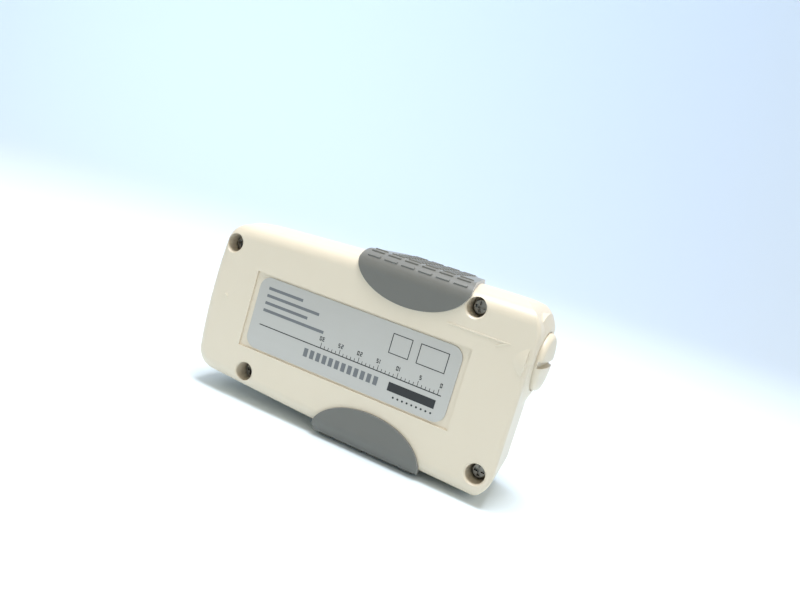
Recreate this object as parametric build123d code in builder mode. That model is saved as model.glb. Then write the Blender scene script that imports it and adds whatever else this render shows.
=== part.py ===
from build123d import *
import os
from math import cos, degrees, pi, radians, sin, tan

# Pocket digital refractometer, standing on one long side.
# X runs from the sample head (-X) to the battery end (+X), Y from the back
# face (-Y) to the key face (+Y), Z up across the width. Millimetres.
# Origin: middle of the overall box, on the surface that it stands on.

os.makedirs("parts", exist_ok=True)

# ------------------------------------------------------------ driving sizes
# Overall
overall_length = 109.0      # head end to the top of the battery cap's dome
grip_width = 59.0           # across the flat sides of the two grips
case_depth = 29.6           # back face to key face
grip_proud = 0.7            # the grips stand this far off the two faces

# Case outline, seen from the back
head_width = 49.6           # across the case at the head end
middle_width = 54.6         # across the case at its middle
tail_width = 57.0           # across the case at the battery end
head_bow = 1.8              # the head end bulges this far
head_corner = 8.0
tail_corner = 9.0
end_set_back = 1.8          # the flat of the battery end lies this far behind the cap's collar
end_lean = 0.11             # of that flat towards the head, per millimetre of depth
end_rise = 1.2              # above the cap's axis the flat stands proud by this
upper_lean = 0.055          # and leans by this
tail_edge_round = 1.2       # of the battery end, towards the back face
tail_key_round = 3.0        # and towards the key face
tail_spread = 0.5           # the sides still widen this much past the battery end
flare_length = 5.5          # the collar swells out of the back face over this length
flare_rise = 0.7            # and by this at most
flare_crest = 1.5           # the top of the swelling lies this far from the collar's end
cap_rise = 2.4              # the cap's dome stands this far off that end

# Case section
wall = 2.2
side_band = 4.0             # half depth of the upright band of the sides
side_draft = 9.0            # degrees, from the band to each face
edge_round = 4.4            # rounding between the faces and the sides
seal_width = 0.9
seal_depth = 1.0
close_fit = 0.05            # between pieces that are laid or pressed together

# Label pocket and rating plate in the back face
pocket_length = 72.4
pocket_width = 24.0
pocket_depth = 0.6
pocket_x = -0.6
pocket_drop = 0.3           # below the middle of the width
label_thickness = 0.3
label_end_gap = 1.9
label_side_gap = 0.7
label_corner = 3.6

# Case screws: place of each
head_screw_inset = 6.5      # from the head end
head_screw_height = 17.6    # above the middle of the width
stage_screw_x = -32.6
stage_screw_height = -19.9
grip_screw_x = 33.0
grip_screw_height = 23.0
tail_screw_inset = 3.6      # from the flat of the battery end
tail_screw_height = -20.6
screw_hole_diameter = 5.8
screw_hole_depth = 6.5
screw_hole_rim = 0.45       # bevel round its mouth
screw_head_diameter = 5.0
screw_head_height = 1.9
screw_diameter = 2.6
screw_reach = 8.0           # of the thread into the front shell's boss
screw_clearance = 0.15
boss_wall = 1.3
driver_span = 0.62          # cross recess, as shares of a screw head's diameter
driver_slot = 0.18

# Grips
grip_centre_x = 12.8
grip_half_length = 17.9     # at the back face
grip_key_half_length = 12.4 # at the key face
grip_centre_inset = 2.7     # middle of each lobe's ellipse, in from the grip's side
back_lobe_reach = 10.4      # from there over the back face
front_lobe_reach = 4.6      # from there over the key face
grip_seat = 0.6             # the grips are let into the case this far
grip_round = 6.0
rib_count = 6
rib_pitch = 5.5
rib_length = 4.6
rib_width = 1.3
rib_corner = 0.4
rib_margin = 0.6            # left flat between a rib and the grip's end
rib_rise = 0.35
rib_slope = 25.0            # degrees, draft of the ribs' sides
rib_rows = 13
lower_bare_rows = 1         # rows that the lower grip leaves out towards the back face
rib_row_start = 4.8         # first row, along the surface from the flat of the lobe

# Marks moulded on the back face
arrow_start_x = 26.6
arrow_end_x = 44.4
arrow_height = 16.4         # above the middle of the width
arrow_barb = 3.0
mark_width = 0.5
mark_rise = 0.15
mark_slope = 30             # of its sides, in degrees
gate_dot_x = -46.0
gate_dot_height = 0.8
gate_dot_diameter = 1.4
gate_dot_rise = 0.3
gate_dot_slope = 30.0       # degrees

# Battery tube, cap and cells
cell_diameter = 10.5
cell_length = 44.5
cell_nub_diameter = 3.8
cell_nub_length = 0.8
cell_corner = 0.5
cell_names = ["outer_cell", "inner_cell"]
tube_clearance = 0.25       # round each cell
tube_wall = 0.95
tube_end_wall = 1.2
battery_height = 13.0       # axis above the middle of the width
battery_board_gap = 1.55    # between the battery's tube and the main board
collar_inset = 0.1          # the round battery end lies this far under the back face
collar_lip = 0.7            # of the case round the cap
cap_diameter = 17.0
cap_gap = 0.25
cap_flange = 1.6            # thickness under the dome
cap_edge_round = 1.6
cap_crown = 0.5             # rise of the dome inside its rounded edge
thread_diameter = 14.2
thread_length = 5.4
thread_pitch = 1.5
thread_height = 0.4
thread_root_width = 0.72
thread_crest_width = 0.18
thread_sink = 0.1           # of the ridge into the neck
thread_clearance = 0.15
cap_bore_diameter = 11.4
coin_slot_width = 1.9
coin_slot_depth = 1.7
mouth_wall = 2.2
mouth_length = 7.4
o_ring_section = 1.1
spring_wire = 0.6
spring_diameter = 7.0
spring_length = 3.2
spring_turns = 3
spring_wire_sides = 8       # flats round the wire
contact_thickness = 0.4
strip_width = 3.0
strip_thickness = 0.3
strip_foot_inset = 18.0     # of the negative strip's foot, from the board's end
strip_foot = 0.6            # of the positive strip, over the board's end
cradle_places = [-20.0, 14.0]
cradle_thickness = 1.4

# Sample stage
stage_inset = 21.5          # centre of the stage, from the head end
stage_diameter = 29.0
stage_proud = 0.7
stage_flange = 1.9
stage_rim = 1.7
stage_hub_diameter = 23.0
stage_fit = 0.1
stage_edge_round = 0.4
dish_floor_diameter = 8.9
dish_depth = 3.6
stage_pad_diameter = 33.0
stage_pad_depth = 3.1
stage_seal_diameter = 26.0
stage_seal_section = 1.1
prism_face_diameter = 8.4
prism_face_drop = 0.15      # below the dish's inner lip
dish_lip = 0.9              # thickness of that lip
prism_seal_height = 0.4
prism_shoulder_diameter = 11.2
prism_shoulder_height = 1.4
prism_depth = 3.0
prism_length = 8.6
prism_width = 7.0
prism_fit = 0.1
clamp_thickness = 0.9
clamp_diameter = 15.6

# Optical block under the stage
block_flange_diameter = 31.4
block_flange_height = 2.0
block_length = 30.0
block_width = 10.8
block_depth = 18.95         # from the prism's face to the back of the block
beam_angle = 42.0           # degrees, each beam from the prism's normal
beam_length = 17.0          # from the prism's face to each slanted side
beam_bore = 5.4
lens_diameter = 5.3
lens_thickness = 1.8
lens_edge = 0.5
condenser_reach = 10.0      # along the beam from the prism's face
slit_reach = 8.0
imaging_reach = 9.5
lamp_diameter = 3.0
lamp_length = 4.6
lamp_holder_length = 3.4
lamp_holder_rim = 0.7
lamp_lead_diameter = 0.4
lamp_lead_spacing = 1.3
lamp_lead_length = 2.0
beam_neck = 3.2
chamber_gap = 0.3
sensor_room = 0.2
slit_thickness = 0.4
slit_opening = 1.0
sensor_board_length = 12.6
sensor_board_thickness = 1.2
sensor_board_shift = 2.2    # down the slanted side from the beam
sensor_length = 8.0
sensor_width = 3.4
sensor_thickness = 1.2
optics_screw_circle = 20.6
optics_screw_diameter = 1.6
optics_screw_head = 2.8
optics_screw_head_height = 1.1
optics_screw_reach = 2.2
thermistor_diameter = 2.0
thermistor_length = 1.4

# Boards, display and keys
board_thickness = 1.4
board_depth = 7.2           # face of the main board, behind the key face
board_stage_gap = 18.5      # from the stage's centre to the board
board_end_gap = 1.1         # from the board to the mouth of the battery's tube
board_width = 38.0
board_screw_inset = 2.7
board_screw_diameter = 1.8
board_screw_head = 3.2
board_screw_head_height = 1.2
board_screw_reach = 3.6
board_boss_diameter = 4.2
panel_stage_gap = 18.0      # from the stage's centre to the panel
panel_end_gap = 1.1
panel_width = 40.0
panel_thickness = 0.5
panel_corner = 5.0
display_key_gap = 25.5      # from the display's centre to the keys'
window_length = 24.0
window_width = 31.0
window_thickness = 1.1
window_ledge = 1.3
glass_length = 28.0
glass_width = 34.0
glass_thickness = 2.0
display_frame_wall = 1.1
connector_width = 1.6
connector_height = 1.8
key_inset = 10.0            # from the panel's end to the keys' centre
key_spread = 8.2            # each key from the middle of the width
key_half_length = 3.8
key_half_width = 5.6
key_proud = 0.6
key_gap = 0.2
key_flange = 0.9
key_flange_height = 1.0
key_stem_diameter = 3.0
key_travel = 0.7
key_crown = 0.5
dome_diameter = 6.0
dome_height = 0.5
gasket_gap = 0.3
gasket_wall = 1.1
gasket_floor = 0.8
gasket_corner = 5.0
flex_width = 8.0
flex_thickness = 0.2
flex_bend = 1.2
flex_landing = -1.0         # start of the cable, up the slanted side from the beam
flex_reach = 5.5            # of the cable, over the board
flex_socket_length = 2.4
flex_socket_end = 1.0
processor_place = 18.5      # along the board from its start
processor_side = 9.0
memory_place = 33.5
memory_length = 6.0
memory_width = 5.0
chip_height = -9.0          # of the chips' centres, from the middle of the width
chip_thickness = 1.2
crystal_place = 42.5
crystal_length = 7.0
crystal_width = 3.0
capacitor_width = 1.2
capacitor_length = 2.0
capacitor_pitch = 2.6
capacitor_columns = 5
capacitor_thickness = 0.9

# --------------------------------------------------------- worked-out places
head_x = -overall_length / 2
cap_top_x = overall_length / 2
collar_x = cap_top_x - cap_rise
wall_x = collar_x - end_set_back
case_middle_x = (head_x + wall_x) / 2
tail_far_x = wall_x + 2 * tail_corner
middle_z = grip_width / 2
back_y = -case_depth / 2
front_y = case_depth / 2
inner_back_y = back_y + wall
inner_front_y = front_y - wall
part_y = 0.0                # the two shells meet here
battery_z = middle_z + battery_height
rim_y = front_y + stage_proud
stage_x = head_x + stage_inset
dish_y = rim_y - dish_depth
prism_face_y = dish_y - prism_face_drop
block_back_y = prism_face_y - block_depth
board_face_y = front_y - board_depth
board_back_y = board_face_y - board_thickness
far = 2 * overall_length    # size of the blocks that cut a form in two
tube_radius = cell_diameter / 2 + tube_clearance
tube_outer = tube_radius + tube_wall
battery_y = board_back_y - battery_board_gap - tube_outer
mouth_bore = thread_diameter / 2 + thread_clearance
mouth_radius = mouth_bore + mouth_wall
mouth_x = collar_x - cap_flange
mouth_back_x = mouth_x - mouth_length
board_start_x = stage_x + board_stage_gap
board_end_x = mouth_back_x - board_end_gap
panel_start_x = stage_x + panel_stage_gap
panel_end_x = mouth_back_x - panel_end_gap
key_x = panel_end_x - key_inset
display_x = key_x - display_key_gap
flex_end_x = board_start_x + flex_reach
strip_foot_x = board_end_x - strip_foot_inset
screw_places = [
    (head_x + head_screw_inset, head_screw_height),
    (stage_screw_x, stage_screw_height),
    (grip_screw_x, grip_screw_height),
    (wall_x - tail_screw_inset, tail_screw_height),
]
spring_seat_x = mouth_x - contact_thickness
cells_end_x = spring_seat_x - spring_length
cells_start_x = cells_end_x - len(cell_names) * cell_length
tube_start_x = cells_start_x - contact_thickness - tube_end_wall


def at_depth(y):
    """Sketch plane facing the back: local x is X, local y the height above the middle."""
    return Plane(origin=(0, y, middle_z), x_dir=(1, 0, 0), z_dir=(0, -1, 0))


def along(x):
    """Sketch plane facing +X: local x is Y, local y the height above the middle."""
    return Plane(origin=(x, 0, middle_z), x_dir=(0, 1, 0), z_dir=(1, 0, 0))


def finish(part, name):
    """Label one finished piece and write its file."""
    part.label = name
    export_step(part, "parts/" + name + ".step")


def lathe(profile, spin_plane):
    """Solid of revolution from (radius, height) points, about the plane's local y axis."""
    with BuildPart() as turned:
        with BuildSketch(spin_plane):
            with BuildLine():
                Polyline(*profile, close=True)
            make_face()
        revolve(axis=Axis(spin_plane.origin, spin_plane.y_dir))
    return turned.part


def battery_spin():
    """Plane for turned battery pieces: local y runs along +X on the cap's axis."""
    return Plane(origin=(0, battery_y, battery_z), x_dir=(0, 0, 1), z_dir=(0, 1, 0))


def stage_spin():
    """Plane for turned stage pieces: local y runs towards the key face."""
    return Plane(origin=(stage_x, 0, middle_z), x_dir=(1, 0, 0), z_dir=(0, 0, 1))


def beam_plane(side, reach):
    """Plane square to a light beam: side -1 is the lamp's, +1 the sensor's."""
    slope = radians(beam_angle)
    out = Vector(side * sin(slope), -cos(slope), 0)
    start = Vector(stage_x, prism_face_y, middle_z)
    return Plane(origin=start + out * reach, x_dir=(0, 0, 1), z_dir=out)


# ------------------------------------------------------------- case envelope
def cut_block(low, high):
    """Box between two corners."""
    size = Vector(*high) - Vector(*low)
    with BuildPart(Plane(origin=low)) as block:
        Box(size.X, size.Y, size.Z, align=(Align.MIN, Align.MIN, Align.MIN))
    return block.part


def side_outline(y, grow=0.0):
    """The case's long sides and head end at one depth, running on past the battery end."""
    head = head_width / 2 + grow
    middle = middle_width / 2 + grow
    tail = tail_width / 2 + tail_spread + grow
    end_x = head_x - grow
    bow_x = end_x + head_bow
    with BuildSketch(at_depth(y)) as sketch:
        with BuildLine():
            ThreePointArc((bow_x, head), (case_middle_x, middle), (tail_far_x, tail))
            Line((tail_far_x, tail), (tail_far_x, -tail))
            ThreePointArc((tail_far_x, -tail), (case_middle_x, -middle), (bow_x, -head))
            ThreePointArc((bow_x, -head), (end_x, 0), (bow_x, head))
        make_face()
        fillet(sketch.vertices().group_by(Axis.X)[0], head_corner + grow)
    return sketch.sketch


def end_block(end_x, lean, grow=0.0):
    """Block as deep as the case whose rounded +X end leans towards the key face."""
    half_depth = case_depth / 2 + grow
    leaning = Plane(origin=(end_x, part_y, middle_z), x_dir=(1, lean, 0), z_dir=(lean, -1, 0))
    with BuildPart() as block:
        with BuildSketch(leaning):
            with Locations((grow - far / 2, 0)):
                RectangleRounded(far, tail_width + 2 * grow, tail_corner + grow)
        extrude(amount=far / 2, both=True)
        add(cut_block((-far, -half_depth, -far), (far, half_depth, far)), mode=Mode.INTERSECT)
        if tail_edge_round + grow > 0:
            fillet(block.faces().sort_by(Axis.Y)[0].edges(), tail_edge_round + grow)
        if tail_key_round + grow > 0:
            fillet(block.faces().sort_by(Axis.Y)[-1].edges(), tail_key_round + grow)
    return block.part


def envelope(end_x, lean, grow=0.0):
    """Closed form of the case, grown or shrunk all round."""
    taper_depth = case_depth / 2 - side_band + grow
    with BuildPart() as body:
        extrude(side_outline(side_band, grow), amount=2 * side_band)
        extrude(side_outline(-side_band, grow), amount=taper_depth, taper=side_draft)
        extrude(side_outline(side_band, grow), amount=-taper_depth, taper=side_draft)
        back_face = body.faces().sort_by(Axis.Y)[0]
        key_face = body.faces().sort_by(Axis.Y)[-1]
        fillet(back_face.edges() + key_face.edges(), edge_round + grow)
        add(end_block(end_x, lean, grow), mode=Mode.INTERSECT)
    return body.part


def case_form():
    """Case with its proud battery end above the cap's axis, and a swelling collar round the cap."""
    rim = cap_diameter / 2 + cap_gap + collar_lip
    full = battery_y - back_y - collar_inset
    root_x = collar_x - flare_length - tail_corner
    collar = [
        (0, root_x),
        (full, root_x),
        (full, collar_x - flare_length),
        (full + collar_inset + flare_rise, collar_x - flare_crest),
        (rim, collar_x),
        (0, collar_x),
    ]
    low_corner = (root_x, -far, battery_z)
    with BuildPart() as form:
        add(envelope(wall_x + end_rise, upper_lean))
        add(cut_block(low_corner, (far, far, far)), mode=Mode.INTERSECT)
        add(envelope(wall_x, end_lean))
        add(lathe(collar, battery_spin()))
    return form.part


def tube_hole(radius, start_x, end_x):
    """Cylinder on the battery's axis."""
    return lathe([(0, start_x), (radius, start_x), (radius, end_x), (0, end_x)], battery_spin())


def grip_reach(y):
    """Half the grips' length at one depth: they are shorter towards the key face."""
    share = (y - back_y) / case_depth
    return grip_half_length + share * (grip_key_half_length - grip_half_length)


def grip_footprint(side, grow=0.0):
    """One grip's outline, as a block through the depth: its deep lobe is on the back."""
    centre = side * (grip_width / 2 - grip_centre_inset)
    plan = []
    for y, turn in ((back_y - case_depth, 1), (front_y + case_depth, -1)):
        for end in (-turn, turn):
            plan.append((grip_centre_x + end * (grip_reach(y) + grow), y))
    with BuildPart() as block:
        for reach, amount in ((back_lobe_reach, far), (front_lobe_reach, -far)):
            with BuildSketch(at_depth(part_y)):
                with Locations((grip_centre_x, centre)):
                    Ellipse(grip_half_length + grow, reach + grow)
                with Locations((grip_centre_x, centre + side * grip_width / 4)):
                    Rectangle(2 * (grip_half_length + grow), grip_width / 2)
            extrude(amount=amount)
        with BuildSketch(Plane.XY):
            with BuildLine():
                Polyline(*plan, close=True)
            make_face()
        extrude(amount=far, both=True, mode=Mode.INTERSECT)
    return block.part


def grip_slab():
    """Straight prism with the grips' rounded section."""
    with BuildPart() as slab:
        with BuildSketch(along(grip_centre_x)):
            across_faces = case_depth + 2 * grip_proud
            across_sides = grip_width - 2 * rib_rise
            RectangleRounded(across_faces, across_sides, grip_round)
        extrude(amount=far / 2, both=True)
    return slab.part


def screw(head_diameter, head_height, diameter, length):
    """Pan-head screw with a cross recess: its shank runs down from z = 0."""
    head = head_diameter / 2
    shank = diameter / 2
    tip = shank / 2
    edge = head_height / 3
    profile = [
        (0, -length),
        (shank - tip, -length),
        (shank, -length + tip),
        (shank, 0),
        (head, 0),
        (head, head_height - edge),
        (head - edge, head_height),
        (0, head_height),
    ]
    with BuildPart() as body:
        add(lathe(profile, Plane.XZ))
        with BuildSketch(Plane.XY.offset(head_height)):
            Rectangle(head_diameter * driver_span, head_diameter * driver_slot)
            Rectangle(head_diameter * driver_slot, head_diameter * driver_span)
        extrude(amount=-head_height / 2, mode=Mode.SUBTRACT)
    return body.part


def screws_at(spots, y, facing, size):
    """A group of screws with their heads towards -Y (facing -1) or +Y (facing 1)."""
    one = screw(*size)
    tilt = -90 * facing
    with BuildPart() as group:
        places = [Location((x, y, middle_z + height), (tilt, 0, 0)) for x, height in spots]
        with Locations(*places):
            add(one)
    return group.part


# --------------------------------------------------------------- case shells
outer = case_form()
cavity = envelope(wall_x, end_lean, -wall)
back_half = cut_block((-far, -far, -far), (far, part_y, far))
key_half = cut_block((-far, part_y, -far), (far, far, far))
seat_form = envelope(wall_x, end_lean, -grip_seat)
boss_room = envelope(wall_x, end_lean, -wall / 2)

with BuildPart() as seated_form:
    add(outer)
    add(grip_footprint(1, close_fit), mode=Mode.SUBTRACT)
    add(grip_footprint(-1, close_fit), mode=Mode.SUBTRACT)
    add(seat_form)

cap_way = tube_hole(cap_diameter / 2 + cap_gap, mouth_x, far)
mouth_way = tube_hole(mouth_radius + close_fit, mouth_back_x - close_fit, mouth_x)
tube_way = tube_hole(tube_outer + close_fit, tube_start_x - close_fit, mouth_x)
screw_seat_y = back_y + screw_hole_depth
boss_radius = screw_hole_diameter / 2 + boss_wall


def shell(half):
    """One half of the hollow case, before its own details."""
    with BuildPart() as body:
        add(seated_form.part)
        add(half, mode=Mode.INTERSECT)
        add(cavity, mode=Mode.SUBTRACT)
    return body.part


def boss_columns(radius, start_y, end_y):
    """A column at each case screw, ending inside the case's wall."""
    with BuildPart() as columns:
        with BuildSketch(at_depth(end_y)):
            with Locations(*screw_places):
                Circle(radius)
        extrude(amount=end_y - start_y)
        add(boss_room, mode=Mode.INTERSECT)
    return columns.part


def seal_slab(grow, depth):
    """Slab with the case's outline, from the part plane into the back shell."""
    with BuildPart() as slab:
        extrude(side_outline(part_y, grow), amount=depth)
        add(end_block(wall_x, end_lean, grow), mode=Mode.INTERSECT)
    return slab.part


def seal_path(depth, width):
    """Band in the middle of the case's wall, from the part plane into the back shell."""
    with BuildPart() as band:
        add(seal_slab((width - wall) / 2, depth))
        add(seal_slab(-(width + wall) / 2, depth), mode=Mode.SUBTRACT)
        add(tube_hole(mouth_radius + wall / 2, mouth_back_x, far), mode=Mode.SUBTRACT)
    return band.part


plain_back = shell(back_half)
plain_key_side = shell(key_half)
back_bosses = boss_columns(boss_radius, inner_back_y - wall / 3, part_y)
key_bosses = boss_columns(screw_diameter / 2 + boss_wall, part_y, inner_front_y + wall / 3)
seal_groove = seal_path(seal_depth, seal_width)

with BuildPart() as back_case:
    add(plain_back)
    add(back_bosses)
    for x in cradle_places:
        with BuildSketch(along(x)):
            with Locations((inner_back_y - close_fit, battery_height)):
                Rectangle(battery_y - inner_back_y, tube_outer, align=(Align.MIN, Align.CENTER))
        extrude(amount=cradle_thickness)
    add(mouth_way, mode=Mode.SUBTRACT)
    add(tube_way, mode=Mode.SUBTRACT)
    add(cap_way, mode=Mode.SUBTRACT)
    add(seal_groove, mode=Mode.SUBTRACT)
    with BuildSketch(at_depth(back_y)):
        with Locations((pocket_x, -pocket_drop)):
            Rectangle(pocket_length, pocket_width)
    extrude(amount=-pocket_depth, mode=Mode.SUBTRACT)
    with BuildSketch(at_depth(back_y)):
        with Locations(*screw_places):
            Circle(screw_hole_diameter / 2)
    extrude(amount=-screw_hole_depth, mode=Mode.SUBTRACT)
    with BuildSketch(at_depth(back_y)):
        with Locations(*screw_places):
            Circle(screw_hole_diameter / 2 + screw_hole_rim)
    extrude(amount=-screw_hole_rim, taper=45, mode=Mode.SUBTRACT)
    with BuildSketch(at_depth(back_y)):
        with Locations(*screw_places):
            Circle(screw_diameter / 2 + screw_clearance)
    extrude(amount=-case_depth / 2, mode=Mode.SUBTRACT)
    with BuildSketch(at_depth(back_y)):
        with BuildLine():
            Line((arrow_start_x, arrow_height), (arrow_end_x, arrow_height))
            Line((arrow_end_x, arrow_height), (arrow_end_x - arrow_barb, arrow_height - arrow_barb / 2))
        trace(line_width=mark_width)
    extrude(amount=mark_rise, taper=mark_slope)
    with BuildSketch(at_depth(back_y)):
        with Locations((gate_dot_x, gate_dot_height)):
            Circle(gate_dot_diameter / 2)
    extrude(amount=gate_dot_rise, taper=gate_dot_slope)
finish(back_case.part, "back_case")

key_hole_radius = screw_diameter / 2
key_centres = [(key_x, side * key_spread) for side in (-1, 1)]
board_screw_places = [
    (x, side * (board_width / 2 - board_screw_inset))
    for x in (board_start_x + board_screw_inset, board_end_x - board_screw_inset)
    for side in (-1, 1)
]
panel_floor_y = front_y - panel_thickness
panel_centre_x = (panel_start_x + panel_end_x) / 2
panel_length = panel_end_x - panel_start_x
opening_length = window_length - 2 * window_ledge
opening_width = window_width - 2 * window_ledge

with BuildPart() as front_case:
    add(plain_key_side)
    add(key_bosses)
    with BuildSketch(at_depth(inner_front_y - stage_pad_depth)):
        with Locations((stage_x, 0)):
            Circle(stage_pad_diameter / 2)
    extrude(amount=-(stage_pad_depth + wall / 2))
    with BuildSketch(at_depth(board_face_y)):
        with Locations(*board_screw_places):
            Circle(board_boss_diameter / 2)
    extrude(amount=-(inner_front_y - board_face_y + wall / 2))
    add(mouth_way, mode=Mode.SUBTRACT)
    add(tube_way, mode=Mode.SUBTRACT)
    add(cap_way, mode=Mode.SUBTRACT)
    with BuildSketch(at_depth(rim_y)):
        with Locations((stage_x, 0)):
            Circle(stage_diameter / 2 + stage_fit)
    extrude(amount=stage_flange, mode=Mode.SUBTRACT)
    with BuildSketch(at_depth(rim_y)):
        with Locations((stage_x, 0)):
            Circle(stage_hub_diameter / 2 + stage_fit)
    extrude(amount=case_depth / 2, mode=Mode.SUBTRACT)
    with BuildSketch(at_depth(front_y)):
        with Locations((panel_centre_x, 0)):
            RectangleRounded(panel_length, panel_width, panel_corner)
    extrude(amount=panel_thickness, mode=Mode.SUBTRACT)
    with BuildSketch(at_depth(panel_floor_y)):
        with Locations((display_x, 0)):
            Rectangle(window_length + 2 * close_fit, window_width + 2 * close_fit)
    extrude(amount=window_thickness, mode=Mode.SUBTRACT)
    with BuildSketch(at_depth(front_y)):
        with Locations((display_x, 0)):
            Rectangle(opening_length, opening_width)
        with Locations(*key_centres):
            Ellipse(key_half_length + key_gap, key_half_width + key_gap)
    extrude(amount=wall + close_fit, mode=Mode.SUBTRACT)
    with BuildSketch(at_depth(part_y)):
        with Locations(*screw_places):
            Circle(key_hole_radius)
    extrude(amount=-screw_reach, mode=Mode.SUBTRACT)
    with BuildSketch(at_depth(board_face_y)):
        with Locations(*board_screw_places):
            Circle(board_screw_diameter / 2)
    extrude(amount=-board_screw_reach, mode=Mode.SUBTRACT)
finish(front_case.part, "front_case")

with BuildPart() as case_seal:
    add(seal_path(seal_depth - close_fit, seal_width - 2 * close_fit))
finish(case_seal.part, "case_seal")

case_screw_length = part_y - screw_seat_y + screw_reach
case_screw_size = (screw_head_diameter, screw_head_height, screw_diameter, case_screw_length)
case_screws = screws_at(screw_places, screw_seat_y, -1, case_screw_size)
finish(case_screws, "case_screws")


# --------------------------------------------------------------------- grips
def rib_spots(side, bare_rows):
    """Places of the ribs on one grip: rows round its section, each out of its surface."""
    half_depth = case_depth / 2 + grip_proud
    half_width = grip_width / 2 - rib_rise
    quarter = grip_round * pi / 2
    flat = 2 * (half_depth - grip_round)
    row_pitch = (2 * quarter + flat - 2 * rib_row_start) / (rib_rows - 1)
    spots = []
    for row in range(bare_rows, rib_rows):
        travel = rib_row_start + row * row_pitch
        if travel < quarter:
            turn = travel / grip_round
        elif travel < quarter + flat:
            turn = pi / 2
        else:
            turn = (travel - flat) / grip_round
        y = -(half_depth - grip_round) - grip_round * cos(turn)
        if turn > pi / 2:
            y = (half_depth - grip_round) - grip_round * cos(turn)
        elif travel >= quarter:
            y = -half_depth + grip_round + travel - quarter
        z = half_width - grip_round + grip_round * sin(turn)
        tilt = side * (90 - degrees(turn)) + (0 if side > 0 else 180)
        for column in range(rib_count):
            along_grip = (column - (rib_count - 1) / 2) * rib_pitch
            if abs(along_grip) + rib_length / 2 + rib_margin < grip_reach(y):
                spot = (grip_centre_x + along_grip, y, middle_z + side * z)
                spots.append(Location(spot, (tilt, 0, 0)))
    return spots


with BuildPart() as rib:
    with BuildSketch(Plane.XY.offset(-grip_seat / 2)):
        RectangleRounded(rib_length, rib_width, rib_corner)
    extrude(amount=rib_rise + grip_seat / 2, taper=rib_slope)

for name, side, bare_rows in (("upper_grip", 1, 0), ("lower_grip", -1, lower_bare_rows)):
    footprint = grip_footprint(side)
    with BuildPart() as grip:
        add(grip_slab())
        add(footprint, mode=Mode.INTERSECT)
        add(seat_form, mode=Mode.SUBTRACT)
        with Locations(*rib_spots(side, bare_rows)):
            add(rib.part)
    finish(grip.part, name)

with BuildPart() as rating_label:
    with BuildSketch(at_depth(back_y + pocket_depth)):
        with Locations((pocket_x, -pocket_drop)):
            label_length = pocket_length - 2 * label_end_gap
            label_width = pocket_width - 2 * label_side_gap
            RectangleRounded(label_length, label_width, label_corner)
    extrude(amount=label_thickness)
finish(rating_label.part, "rating_label")


# ----------------------------------------------------- battery tube, cap, cells
neck_radius = thread_diameter / 2
root_radius = neck_radius - thread_height
cap_radius = cap_diameter / 2
ring_seat = o_ring_section + 2 * close_fit
plug_x = mouth_x - thread_length
battery_axis = Axis((0, battery_y, battery_z), (1, 0, 0))


def wound(pitch, start_x, length, radius, section):
    """Section, as (radial, axial) points, swept along a helix on the battery's axis."""
    with BuildPart() as coil:
        centre = (start_x, battery_y, battery_z)
        with BuildLine() as path:
            Helix(pitch, length, radius, center=centre, direction=(1, 0, 0))
        start = path.line @ 0
        outward = start - Vector(*centre)
        across_path = Plane(origin=start, x_dir=outward.normalized(), z_dir=path.line % 0)
        with BuildSketch(across_path):
            with BuildLine():
                Polyline(*section, close=True)
            make_face()
        sweep(is_frenet=True)
    return coil.part


with BuildPart() as battery_sleeve:
    sleeve_profile = [
        (0, tube_start_x),
        (tube_outer, tube_start_x),
        (tube_outer, mouth_back_x),
        (mouth_radius, mouth_back_x),
        (mouth_radius, mouth_x),
        (0, mouth_x),
    ]
    add(lathe(sleeve_profile, battery_spin()))
    add(tube_hole(tube_radius, tube_start_x + tube_end_wall, far), mode=Mode.SUBTRACT)
    add(tube_hole(mouth_bore, plug_x - close_fit, far), mode=Mode.SUBTRACT)
    add(tube_hole(neck_radius + ring_seat, mouth_x - ring_seat, far), mode=Mode.SUBTRACT)
    with BuildSketch(at_depth(battery_y)):
        with Locations((tube_start_x + tube_end_wall, battery_height)):
            slot_length = contact_thickness + close_fit
            slot_width = strip_width + 2 * close_fit
            Rectangle(slot_length, slot_width, align=(Align.MIN, Align.CENTER))
    extrude(amount=-2 * tube_outer, mode=Mode.SUBTRACT)
finish(battery_sleeve.part, "battery_sleeve")

thread_section = [
    (-thread_sink, thread_root_width / 2),
    (-thread_sink, -thread_root_width / 2),
    (thread_height, -thread_crest_width / 2),
    (thread_height, thread_crest_width / 2),
]
thread_run = thread_length - ring_seat - 2 * thread_height
thread_ridge = wound(thread_pitch, plug_x + thread_height, thread_run, root_radius, thread_section)

with BuildPart() as battery_cap:
    with BuildSketch(battery_spin()):
        with BuildLine():
            Polyline(
                (0, cap_top_x),
                (0, mouth_x),
                (cap_bore_diameter / 2, mouth_x),
                (cap_bore_diameter / 2, plug_x),
                (root_radius, plug_x),
                (root_radius, mouth_x - ring_seat),
                (neck_radius, mouth_x - ring_seat),
                (neck_radius, mouth_x),
                (cap_radius, mouth_x),
                (cap_radius, collar_x),
            )
            edge_x = collar_x + cap_rise - cap_crown
            edge_radius = cap_radius - cap_edge_round
            bend = sin(pi / 4)
            edge_middle = (edge_radius + cap_edge_round * bend, edge_x - cap_edge_round * (1 - bend))
            crown_middle = (edge_radius / 2, cap_top_x - cap_crown / 4)
            Line((cap_radius, collar_x), (cap_radius, edge_x - cap_edge_round))
            ThreePointArc((cap_radius, edge_x - cap_edge_round), edge_middle, (edge_radius, edge_x))
            ThreePointArc((edge_radius, edge_x), crown_middle, (0, cap_top_x))
        make_face()
    revolve(axis=battery_axis)
    with BuildSketch(at_depth(battery_y)):
        with Locations((cap_top_x, battery_height)):
            Rectangle(2 * coin_slot_depth, coin_slot_width)
    extrude(amount=cap_diameter, both=True, mode=Mode.SUBTRACT)
    add(thread_ridge)
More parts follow.
